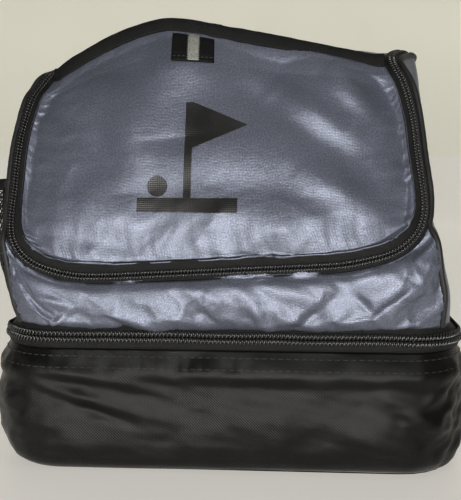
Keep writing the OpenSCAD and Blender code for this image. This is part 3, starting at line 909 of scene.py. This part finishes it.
for name, line, node in (("left_pipe", PIPE_LEFT, "left_piping"), ("right_pipe", PIPE_RIGHT, "right_piping")):
    path = Seam(line, (1, 0, 0.02))
    bumps = 1 + 0.06 * ripple(line, 4 * MM, 5, 1)
    cord_rings = round_cord(line, path.b, path.n, PIPE_R * bumps, 12)
    tube_set(name, [cord_rings], "upper", PIPING, [node])

# ---------------------------------------------------------------- lid


def lid_front():
    cols, rows = 170, 120
    bottom = resample(INNER[LOW_LEFT:LOW_RIGHT + 1], cols)
    left = resample(INNER[TOP_LEFT:LOW_LEFT + 1][::-1], rows)
    right = resample(INNER[LOW_RIGHT:TOP_RIGHT + 1], rows)
    grid = coons(bottom, resample(PEAK, cols), left, right)
    u, v = across_and_up(cols, rows)
    edge = np.clip(np.sin(math.pi * u), 0, 1) ** 0.62
    peak = 0.33 + 0.15 * np.exp(-((u - 0.57) / 0.2) ** 2)                      # where the belly stands out most
    below = np.sin(math.pi / 2 * np.minimum(v / peak, 1)) ** 0.9
    above = 0.5 + 0.5 * np.cos(math.pi * np.clip((v - peak) / (1 - peak), 0, 1))
    lift = 13.5 * MM * edge * smooth(np.where(v < peak, below, above), 12)
    x, z = grid[..., 0] / MM, grid[..., 2] / MM
    broad = ripple(field((x + 0.4 * z) / 95, (z - 0.3 * x) / 80, 1.4), 1, 4, 2)
    lift += broad * 5.0 * MM * edge * np.sin(math.pi * v)
    for mid_x, mid_z, high, wide_x, wide_z in ((76, 262, 6.5, 22, 24), (-27, 270, 7.5, 24, 20),
                                               (26, 252, -3.0, 18, 24), (-84, 250, 2.0, 20, 14)):
        lift += high * MM * np.exp(-((x - mid_x) / wide_x) ** 2 - ((z - mid_z) / wide_z) ** 2) * hump(v, 0.5)
    lift += crease(grid, (38, 284), (78, 158), 4.6, 34, 42) * edge
    lift += crease(grid, (-52, 300), (-44, 214), 3.0, 22, 36) * np.clip((1 - v) * 5, 0, 1)
    lift += fold(grid, (-112, 236), (-30, 150), -5.0, 17) * edge
    lift = add_folds(lift, grid, (
        ((-70, 262), (-62, 176), 3.4, 15), ((6, 262), (76, 214), 4.2, 10), ((22, 246), (104, 176), -3.6, 12),
        ((60, 262), (96, 226), 3.4, 9), ((-40, 168), (84, 152), 4.6, 15), ((-98, 152), (-44, 146), -2.4, 8),
        ((40, 196), (106, 160), 3.0, 10)))
    rough = np.clip(1.1 - 3.0 * np.minimum(v, np.minimum(u, 1 - u) * 1.6), 0.10, 1)
    rough = rough * edge * hump(np.clip(v, 0.01, 1), 0.3)                      # most creased beside its seams
    lift += rough * crumple(field(x + 0.5 * z, 0, z - 0.4 * x), (38, 20, 24), 17) * 2.0 * MM
    lift += puckers(grid, ["bottom", "left", "right"], 2.6 * MM, 12 * MM, 9 * MM, 11) * hump(v, 0.1)
    lift += puckers(grid, ["bottom", "left"], 1.6 * MM, 30 * MM, 22 * MM, 15)
    lift += puckers(grid, ["top"], 1.0 * MM, 14 * MM, 14 * MM, 21)
    grid = grid + grid_normals(grid) * lift[..., None]
    soft = drape(grid, 0.008, 0.2, 0.25, 0.05)
    return grid + (soft - grid) * np.clip((1 - v) * 7, 0, 1)[..., None]         # held smooth under the binding


LID = lid_front()
lid = sheet("lid_cloth", LID, NYLON_THICK, "lid", SLATE, ["lid_panel"])
lid_hit = surface(LID)


def on_lid(x, z, lift):
    """The point that stands out by lift from the lid, in front of x, z."""
    place, way, _, _ = lid_hit.ray_cast(Vector((x, -0.3, z)), Vector((0, 1, 0)))
    if place is None:
        place, way, _, _ = lid_hit.find_nearest(Vector((x, -0.08, z)))
    return np.array(place + (-way if way.y > 0 else way) * lift)


def lid_top():
    cols, rows = 120, 70
    start, last = ahead_of(LID_LINE, 89 * MM)
    left = resample(INNER[start:TOP_LEFT + 1][::-1], rows)
    right = resample(INNER[TOP_RIGHT:last + 1], rows)
    grid = coons(resample(PEAK, cols), np.linspace(left[-1], right[-1], cols), left, right)
    u, v = across_and_up(cols, rows)
    inside = hump(u, 0.7) * hump(v, 0.8)
    x, y = grid[..., 0] / MM, grid[..., 1] / MM
    slump = ripple(field((x + 0.5 * y) / 60, (y - 0.3 * x) / 44, 0), 1, 13, 3)
    lift = inside * (slump * 4.0 * MM - 2.5 * MM)                              # it sags behind the top edge
    lift += inside * crumple(field(x + 0.6 * y, y, 0), (46, 26, 20), 23) * 1.6 * MM
    lift += puckers(grid, ["left", "right"], 1.5 * MM, 10 * MM, 9 * MM, 31) * hump(v, 0.2)
    return grid + grid_normals(grid) * lift[..., None]


TOP = lid_top()
top = sheet("lid_top_cloth", TOP, NYLON_THICK, "lid", SLATE, ["lid_top_panel"])

# ---------------------------------------------------------------- zips


def tape_sheet(name, seam, far, n_far, body, node, edge=None):
    """Half of a zip's tape, from beside the teeth out to its seam, which lies n_far out of the fabric."""
    near, n_near = np.sign(np.mean(far)) * 0.3 * MM, 0.2 * MM
    rows = []
    for t in np.linspace(0, 1, 6):
        line = seam.at(near + (far - near) * t, n_near + (n_far - n_near) * t)
        rows.append(line if edge is None else line * (1 - t ** 2) + edge * t ** 2)
    piece = sheet(name, np.array(rows), TAPE_THICK, body, TAPE, [node])


def chain(name, seam, side, width, pitch, body, node):
    tube_set(name, [coil(seam, side, width, pitch)], body, TEETH, [node])


low_coil, lid_coil = (seam.part(*seam.s[list(ahead_of(seam.p, end))])
                      for seam, end in ((LOW_SEAM, ZIP_END), (LID_SEAM, 73 * MM)))
tape_sheet("lower_tape", LOW_SEAM, 7.3 * MM, -1.0 * MM, "lower", "lower_zip_tape", WALL[-1])
tape_sheet("upper_tape", LOW_SEAM, -7.3 * MM, -2.0 * MM, "upper", "upper_zip_tape", DECK_LINE)
chain("lower_teeth", low_coil, 1, LOW_COIL, LOW_PITCH, "lower", "lower_zip_coil")
chain("upper_teeth", low_coil, -1, LOW_COIL, LOW_PITCH, "upper", "upper_zip_coil")
tape_sheet("lid_tape_outer", LID_SEAM, TAPE_OUT + 0.8 * MM, -0.9 * MM, "upper", "lid_zip_outer_tape")
tape_sheet("lid_tape_inner", LID_SEAM, -TAPE_IN - 0.8 * MM, -0.9 * MM, "lid", "lid_zip_inner_tape")
chain("lid_teeth_outer", lid_coil, 1, LID_COIL, LID_PITCH, "upper", "lid_zip_outer_coil")
chain("lid_teeth_inner", lid_coil, -1, LID_COIL, LID_PITCH, "lid", "lid_zip_inner_coil")

# ---------------------------------------------------------------- top edge


def edge_binding():
    line = smooth(resample(PEAK, 260), 4)
    line = line + np.array([0, -0.4 * MM, 2.6 * MM])
    seam = Seam(line, (0, 0.22, 1))
    wide = 9.6 * MM + 0.5 * MM * ripple(line, 14 * MM, 3, 2)
    rings = []
    wave = ripple(line, 9 * MM, 7, 2) * 0.35 * MM
    for k in range(len(line)):
        profile = np.array(rounded(wide[k], 2.5 * MM, 0.48))
        rings.append(line[k] + seam.b[k] * profile[:, :1] + seam.n[k] * (profile[:, 1:] + wave[k]))
    return seam, wide, np.array(rings)


BIND_SEAM, BIND_WIDE, bind_rings = edge_binding()
tube_set("edge_binding", [bind_rings], "lid", BINDING, ["top_edge_binding"])
rearward = np.sign(BIND_SEAM.n[:, 1].mean())           # 1 where the seam's own way out points to the rear
rows = []
for b in (-2.6 * MM, 2.4 * MM):
    rows += stitches(BIND_SEAM, b, -rearward * 1.3 * MM, 2.6 * MM, 1.0 * MM, 0.22 * MM)
tube_set("edge_stitching", rows, "lid", BINDING)

# ---------------------------------------------------------------- tab, stripe, print and handle

tab_low, tab_high = box("webbing_tab")
HANDLE_X = (tab_low[0] + tab_high[0]) / 2
WEB = tab_high[0] - tab_low[0]                         # width of the webbing


def on_front(x, z, lift):
    """As on_lid, but tucked into the edge binding at its upper end."""
    k = int(np.argmin(np.abs(BIND_SEAM.p[:, 0] - x)))
    low = BIND_SEAM.p[k, 2] - BIND_WIDE[k] / 2
    over = np.clip((z - low + 3 * MM) / (5 * MM), 0, 1)
    tucked = BIND_SEAM.p[k, 1] + (0.9 * MM - 0.5 * lift)
    return np.array([x, on_lid(x, z, lift)[1] * (1 - over) + tucked * over, z])


def strip_on_front(name, mid_x, width, top_z, low_z, lift, thickness, material, node, ragged=0.0):
    """A short strip that hangs down the front from the top edge."""
    rows, cols = 34, 15
    lean = math.sin(0.05)                              # it hangs a little out of true
    grid = np.zeros((rows, cols, 3))
    for r, v in enumerate(np.linspace(0, 1, rows)):
        for c, u in enumerate(np.linspace(-0.5, 0.5, cols)):
            z = low_z + (top_z - low_z) * v
            edge = ragged * abs(2 * u) ** 6 * (1 if r % 2 else -1)
            x = mid_x + (u * (width + edge * 2)) + lean * (top_z - z)
            grid[r, c] = on_front(x, z - u * width * lean, lift)
    grid[..., 1] = np.minimum(grid[..., 1], smooth(smooth(grid[..., 1], 2).T, 1).T)
    return grid, sheet(name, grid, thickness, "lid", material, [node])


tab_grid, tab = strip_on_front("front_tab", -26.5 * MM, WEB, 289.0 * MM, 265.5 * MM, 1.9 * MM, 1.5 * MM,
                               WEBBING, "webbing_tab")
stripe = strip_on_front("tab_stripe", -26.0 * MM, 7.2 * MM, 288.5 * MM, 266.0 * MM, 2.5 * MM, 0.5 * MM,
                        SILVER, "reflective_stripe", 0.55 * MM)[1]
rows = stitches(Seam(tab_grid[4], (0, 0, -1)), 0, 0.25 * MM, 2.2 * MM, 0.9 * MM, 0.3 * MM)
tube_set("tab_stitching", rows, "lid", THREAD)


def flag_mark(height):
    """A golf flag on its green with a ball, as outlines in metres about the middle of the mark."""
    pole, flag_w, flag_h, ball, green_w, green_h = (height * k for k in (0.07, 0.5, 0.42, 0.095, 0.92, 0.13))
    green = [(-green_w / 2, 0), (green_w / 2, 0), (green_w / 2, green_h), (-green_w / 2, green_h)]
    post = [(-pole / 2, green_h), (pole / 2, green_h), (pole / 2, height - flag_h),
            (pole / 2 + flag_w, height - flag_h / 2), (pole / 2, height), (-pole / 2, height)]
    disc = [(-green_w * 0.3 + ball * c, green_h + ball * 1.08 + ball * d) for c, d in zip(*circle(48))]
    return [[(x, z - height / 2) for x, z in shape] for shape in (green, post, disc)]


def printed(name, shapes, mid_x, mid_z, lift, thickness):
    """Print film on the lid: each outline filled with small triangles and laid on the cloth."""
    verts, faces, uv = [], [], []
    for shape in shapes:
        closed = np.array(shape + shape[:1])
        line = resample(closed, max(24, int(arc_length(closed)[-1] / (0.9 * MM))))[:-1]
        low, high = line.min(0), line.max(0)
        step = 1.8 * MM
        inner = [(x, z) for x in np.arange(low[0], high[0], step) for z in np.arange(low[1], high[1], step)]
        edges = [(k, (k + 1) % len(line)) for k in range(len(line))]
        flat, _, tris, _, _, _ = delaunay_2d_cdt([Vector(p) for p in [*line, *inner]], edges, [], 1, 1e-7)
        start = len(verts)
        for p in flat:
            verts.append(on_lid(mid_x + p.x, mid_z + p.y, lift))
            uv.append((p.x, p.y))
        faces += [tuple(start + k for k in tri) for tri in tris]
    used = sorted({k for face in faces for k in face})
    index = {k: n for n, k in enumerate(used)}
    piece = make(name, [verts[k] for k in used], [tuple(index[k] for k in face) for face in faces], "lid", PRINT,
                 ["printed_emblem"], [uv[k] for k in used])
    solid = piece.modifiers.new("film", "SOLIDIFY")
    solid.thickness = thickness
    solid.offset = 0
    solid.use_rim = False


printed("lid_print", flag_mark(70 * MM), -26 * MM, 203 * MM, 0.30 * MM, 0.16 * MM)

top_hit = surface(TOP)


def on_top(x, y):
    """Height of the top cloth at x, y, or of its hinge where the cloth doesn't reach."""
    place = top_hit.ray_cast(Vector((x, y, 0.4)), Vector((0, 0, -1)))[0]
    return place.z if place else HINGE_Z


def handle():
    """Webbing sewn down behind the top edge and in front of the rear seam, arched between."""
    y = np.linspace(-27 * MM, 82 * MM, 90)
    rest = smooth(np.array([on_top(HANDLE_X, min(v, 80 * MM)) for v in y]), 6) + 1.6 * MM
    t = np.clip((y + 8 * MM) / (70 * MM), 0, 1)
    arch = hump(t, 2) ** 0.62
    z = rest + arch * 13.5 * MM * (1 + 0.05 * np.sin(y / MM / 9))
    x = HANDLE_X + 0.8 * MM * np.sin(y / MM / 31)
    line = resample(np.stack([x, y, z], 1), 110)
    seam = Seam(line, (1, 0, 0.03))
    cup = []
    profile = np.array(rounded(WEB, 1.5 * MM))
    for k in range(len(line)):
        curl = 1.2 * MM * math.sin(math.pi * k / (len(line) - 1)) ** 2
        bow = profile[:, 1:] - curl * (2 * profile[:, :1] / WEB) ** 2
        cup.append(line[k] + seam.b[k] * profile[:, :1] + seam.n[k] * bow * np.sign(seam.n[k][2]))
    return seam, np.array(cup)


HANDLE_SEAM, handle_rings = handle()
tube_set("webbing_handle", [handle_rings], "lid", WEBBING, ["carry_handle"])


def patch_stitching():
    """A sewn box with a cross in it at each end of the handle."""
    rows = []
    up = np.sign(HANDLE_SEAM.n[:, 2].mean())
    for run in (slice(2, 16), slice(len(HANDLE_SEAM.p) - 16, len(HANDLE_SEAM.p) - 2)):
        p, b = HANDLE_SEAM.p[run] + HANDLE_SEAM.n[run] * up * 0.85 * MM, HANDLE_SEAM.b[run]
        half = WEB / 2 - 3 * MM
        t = np.linspace(-1, 1, len(p))[:, None]
        lines = [p + b * half, p - b * half, p + b * half * t, p - b * half * t]
        across = np.linspace(-1, 1, 16)[:, None]
        lines += [p[0] + b[0] * half * across, p[-1] + b[-1] * half * across]
        for line in lines:
            way = Seam(line, (1, 0.02, 0.0) if np.ptp(line[:, 1]) > 5 * MM else (0, 1, 0))
            rows += stitches(way, 0, 0.15 * MM * np.sign(way.n[0][2]), 2.2 * MM, 0.9 * MM, 0.32 * MM)
    return rows


tube_set("handle_stitching", patch_stitching(), "lid", THREAD, ["handle_patches"])

# ---------------------------------------------------------------- folds at the two hinges


def hinge_fold(name, half, profile, node):
    """A reinforcing strip across the back, laid where two bodies meet at a hinge."""
    line = spline([(0, y, z) for y, z in profile], 26)
    x = np.linspace(half, -half, 90)
    grid = field(x, line[:, 1:2] + 0.25 * MM * np.sin(x / MM / 7.0), line[:, 2:3])
    piece = sheet(name, grid, HINGE_THICK, None, BINDING, [node])
    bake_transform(piece)


hinge_fold("rear_hinge_fold", 0.139, [(96.3, 72), (96.4, 80), (96.2, 88), (96.2, 96), (96.3, 104)],
           "rear_hinge_tape")
hinge_fold("lid_hinge_fold", 0.114,
           [(95.9, 244), (96.0, 252), (95.6, 259), (93.2, 263.6), (88.5, 265.3), (80, 266.8)],
           "lid_hinge_tape")

# ---------------------------------------------------------------- mesh pocket on the left side

left_hit = surface(LEFT)
(_, POCKET_FRONT, pocket_low), (_, POCKET_REAR, POCKET_MOUTH) = box("mesh_pocket")
POCKET_FOOT = pocket_low + 2 * MM


def pocket_place(y, z):
    """A point of the pocket's cloth: on its seams it lies on the side, between them it hangs away."""
    place = left_hit.ray_cast(Vector((-0.4, y, z)), Vector((1, 0, 0)))[0]
    base = place.x if place else -UPPER_HALF
    u = (y - POCKET_FRONT) / (POCKET_REAR - POCKET_FRONT)
    v = (z - POCKET_FOOT) / (POCKET_MOUTH - POCKET_FOOT)
    out = math.sin(math.pi * min(max(u, 0), 1)) ** 0.45 * min(1, max(v, 0) * 2.6) ** 0.6
    out *= 20 * MM * (1 + 0.10 * math.sin(u * 9 + v * 2))
    return np.array([min(base - 1.2 * MM - out, -0.1462 - 0.2 * out), y, z])


def pocket():
    """Hexagon net: rings of six corners, each row half a cell along from the last."""
    mouth = POCKET_MOUTH - 1 * MM
    pitch_y, pitch_z = 3.9 * MM, 3.3 * MM
    ring = [(0, 2 / 3), (0.5, 1 / 3), (0.5, -1 / 3), (0, -2 / 3), (-0.5, -1 / 3), (-0.5, 1 / 3)]
    verts, faces, uv = [], [], []
    found = {}

    def corner(y, z):
        key = (round(y / (0.1 * MM)), round(z / (0.1 * MM)))
        if key not in found:
            found[key] = len(verts)
            verts.append(pocket_place(min(max(y, POCKET_FRONT), POCKET_REAR), min(max(z, POCKET_FOOT), mouth)))
            uv.append((y, z))
        return found[key]

    for r in range(int((mouth - POCKET_FOOT) / pitch_z)):
        for c in range(int((POCKET_REAR - POCKET_FRONT) / pitch_y)):
            y = POCKET_FRONT + (c + 0.5 + 0.5 * (r % 2)) * pitch_y
            z = POCKET_FOOT + (r + 0.5) * pitch_z
            if y + pitch_y / 2 <= POCKET_REAR:
                faces.append([corner(y + a * pitch_y, z + b * pitch_z) for a, b in ring])
    piece = make("pocket_mesh", verts, faces, "upper", MESH, ["mesh_pocket"], uv)
    wire = piece.modifiers.new("net", "WIREFRAME")
    wire.thickness = 1.1 * MM
    wire.use_even_offset = False
    return piece


net = pocket()


def pocket_hem():
    """A band along the mouth, the foot and both sides."""
    y = np.linspace(POCKET_FRONT, POCKET_REAR, 90)
    z = np.linspace(POCKET_FOOT, POCKET_MOUTH, 40)
    line = np.array([pocket_place(v, POCKET_MOUTH - 1 * MM) for v in y]) + np.array([0, 0, 3 * MM])
    foot = np.array([pocket_place(v, pocket_low + 3 * MM) for v in y])
    edges = (POCKET_FRONT + 0.3 * MM, POCKET_REAR - 0.3 * MM)
    sides = [np.array([pocket_place(edge, v) for v in z]) for edge in edges]
    return [ribbon(Seam(smooth(path, 4), up), wide, 1.8 * MM) for path, wide, up in (
        (line, 7 * MM, (0, 0, 1)), (foot, 5 * MM, (0, 0, 1)), *[(side, 5 * MM, (0, 1, 0)) for side in sides])]


tube_set("pocket_hem", pocket_hem(), "upper", BINDING, ["pocket_binding"])

# ---------------------------------------------------------------- sliders and pulls


def prism(outline, origin, x, y, z, low, high, hole=None):
    """Verts and faces of an extruded outline, or of a ring where hole is given with as many points."""
    count = len(outline)
    verts, faces = [], []
    for line in [outline] + ([hole] if hole is not None else []):
        for h in (low, high):
            verts += [origin + x * a + y * b + z * h for a, b in line]
    for k in range(count):
        n = (k + 1) % count
        faces.append((k, n, count + n, count + k))
        if hole is not None:
            faces.append((2 * count + n, 2 * count + k, 3 * count + k, 3 * count + n))
            faces.append((count + k, count + n, 3 * count + n, 3 * count + k))
            faces.append((n, k, 2 * count + k, 2 * count + n))
    if hole is None:
        faces += [tuple(range(count - 1, -1, -1)), tuple(range(count, 2 * count))]
    return verts, faces


def rounded_outline(half_l, half_w, nose, count=40):
    """A slider's plan: blunt at the tail, wider and rounded at the nose."""
    c, s = circle(count)
    x = half_l * bulge(c, 0.55)
    y = half_w * bulge(s, 0.5) * (1 + nose * x / half_l)
    return list(zip(x, y))


def own_axes(run, out):
    """x along run, y across it and z along out, for a part of a zip."""
    x, z = unit(np.array(run, float)), unit(np.array(out, float))
    return x, np.cross(z, x), z


def joined(name, parts, body, node, bevel):
    """One metal piece from several prisms, with its edges softened."""
    verts, faces = [], []
    for more, rings in parts:
        faces += [tuple(k + len(verts) for k in ring) for ring in rings]
        verts += list(more)
    points = np.array(verts)
    piece = make(name, verts, faces, body, METAL, [node], points[:, 1:], flat=True)
    edge = piece.modifiers.new("soft_edges", "BEVEL")
    edge.width = bevel
    edge.segments = 2
    edge.limit_method = "ANGLE"
    return piece


def slider(name, origin, run, out, pivot, across, wide, body, node):
    """Coil slider: top plate, wedge, side rails, bottom plate, and a crown that its pull's bar passes under.

    pivot is where the bar turns; across is true where the crown stands across the zip; wide scales its width."""
    x, y, z = own_axes(run, out)
    plate = rounded_outline(6.2 * MM, 4.3 * MM * wide, 0.14)
    parts = [prism(plate, origin, x, y, z, 1.15 * MM, 2.1 * MM)]
    parts.append(prism([(a * 0.95, b * 0.95) for a, b in plate], origin, x, y, z, -3.3 * MM, -2.5 * MM))
    for sign in (-1, 1):
        rail = [(a * MM, sign * b * wide * MM) for a, b in ((-5.0, 3.55), (4.6, 3.95), (4.6, 4.6), (-5.0, 4.15))]
        parts.append(prism(rail if sign > 0 else rail[::-1], origin, x, y, z, 0.0, 1.3 * MM))
    wedge = rounded_outline(1.6 * MM, 0.22 * MM, 0.2, 16)
    parts.append(prism(wedge, origin + x * 3.6 * MM, x, y, z, -2.6 * MM, 1.2 * MM))
    rise = ((pivot - origin) @ z - 0.8 * MM) / (1.9 * MM)       # leaves room for the bar
    long, shift = (0.78, (pivot - origin) @ y) if across else (1.0, 0.0)
    arch = [(-4.4, 0), (-4.2, 1.5), (-3.3, 2.4), (-1.8, 2.9), (1.2, 2.9), (2.9, 2.4), (3.9, 1.4), (4.2, 0),
            (3.1, 0), (2.7, 1.0), (1.9, 1.7), (0.8, 1.9), (-1.6, 1.9), (-2.6, 1.6), (-3.2, 0.9), (-3.4, 0)]
    arch = [(a * long * MM + shift, b * rise * MM) for a, b in arch]
    plane = (y, z, x) if across else (x, z, -y)
    parts.append(prism(arch, origin + z * 1.9 * MM, *plane, -0.9 * MM, 0.9 * MM))
    return joined(name, parts, body, node, 0.22 * MM)


def pull(name, origin, run, out, length, body, node):
    """Tongue with a slot at its hinge end and raised ribs at its grip; origin is the hinge end."""
    x, y, z = own_axes(run, out)
    c, s = circle(48)
    body_line = list(zip(length / 2 + length / 2 * bulge(c, 0.5), 3.3 * MM * bulge(s, 0.5) * (0.84 + 0.16 * c)))
    slot_line = list(zip(length * 0.22 + length * 0.17 * bulge(c, 0.32), 1.6 * MM * bulge(s, 0.32)))
    parts = [prism(body_line, origin, x, y, z, -0.6 * MM, 0.6 * MM, slot_line)]
    for k in range(4):
        at = length * (0.58 + 0.1 * k)
        rib = [(at + a * 0.4 * MM, b * 2.1 * MM) for a, b in ((-1, -1), (1, -1), (1, 1), (-1, 1))]
        parts.append(prism(rib, origin, x, y, z, 0.5 * MM, 0.9 * MM))
    return joined(name, parts, body, node, 0.18 * MM)


low_pivot = np.array(JOINTS["lower_pull_swing"]["pos_m"])
low_box, high_box = box("lower_zip_slider")
low_at = np.array([HALF_W + 1.6 * MM, (low_box[1] + high_box[1]) / 2, ZIP_Z])
slider("lower_slider_body", low_at, (0, 1, 0), (1, 0, 0), low_pivot, True, 1.32, "lower_slider", "lower_zip_slider")
low_box, high_box = box("lower_zip_pull")
pull("lower_pull_tongue", low_pivot + np.array([0, 0, 0.6 * MM]), (0, 0, -1), (1, 0, 0), high_box[2] - low_box[2],
     "lower_pull", "lower_zip_pull")

FORWARD = unit(np.array(JOINTS["lid_slide"]["axis"], float))
UP = np.array([0, -FORWARD[2] * np.sign(FORWARD[1]), abs(FORWARD[1])])
lid_pivot = np.array(JOINTS["lid_pull_swing"]["pos_m"])
low_box, high_box = box("lid_zip_slider")
k = int(np.argmin(np.linalg.norm(LID_LINE - (low_box + high_box) / 2, axis=1)))
lid_pivot[0] = LID_LINE[k, 0]
slider("lid_slider_body", LID_LINE[k] + UP * 1.2 * MM, -FORWARD, UP, lid_pivot, False, 1.0, "lid_slider",
       "lid_zip_slider")
low_box, high_box = box("lid_zip_pull")
pull("lid_pull_tongue", lid_pivot - FORWARD * 0.6 * MM, FORWARD, UP, high_box[1] - low_box[1], "lid_pull",
     "lid_zip_pull")

# ---------------------------------------------------------------- finish

for name, material in (("base_board", BOARD), ("lower_zip_stops", METAL), ("lid_zip_stops", METAL)):
    frame["nodes"][name].data.materials.clear()
    frame["nodes"][name].data.materials.append(material)
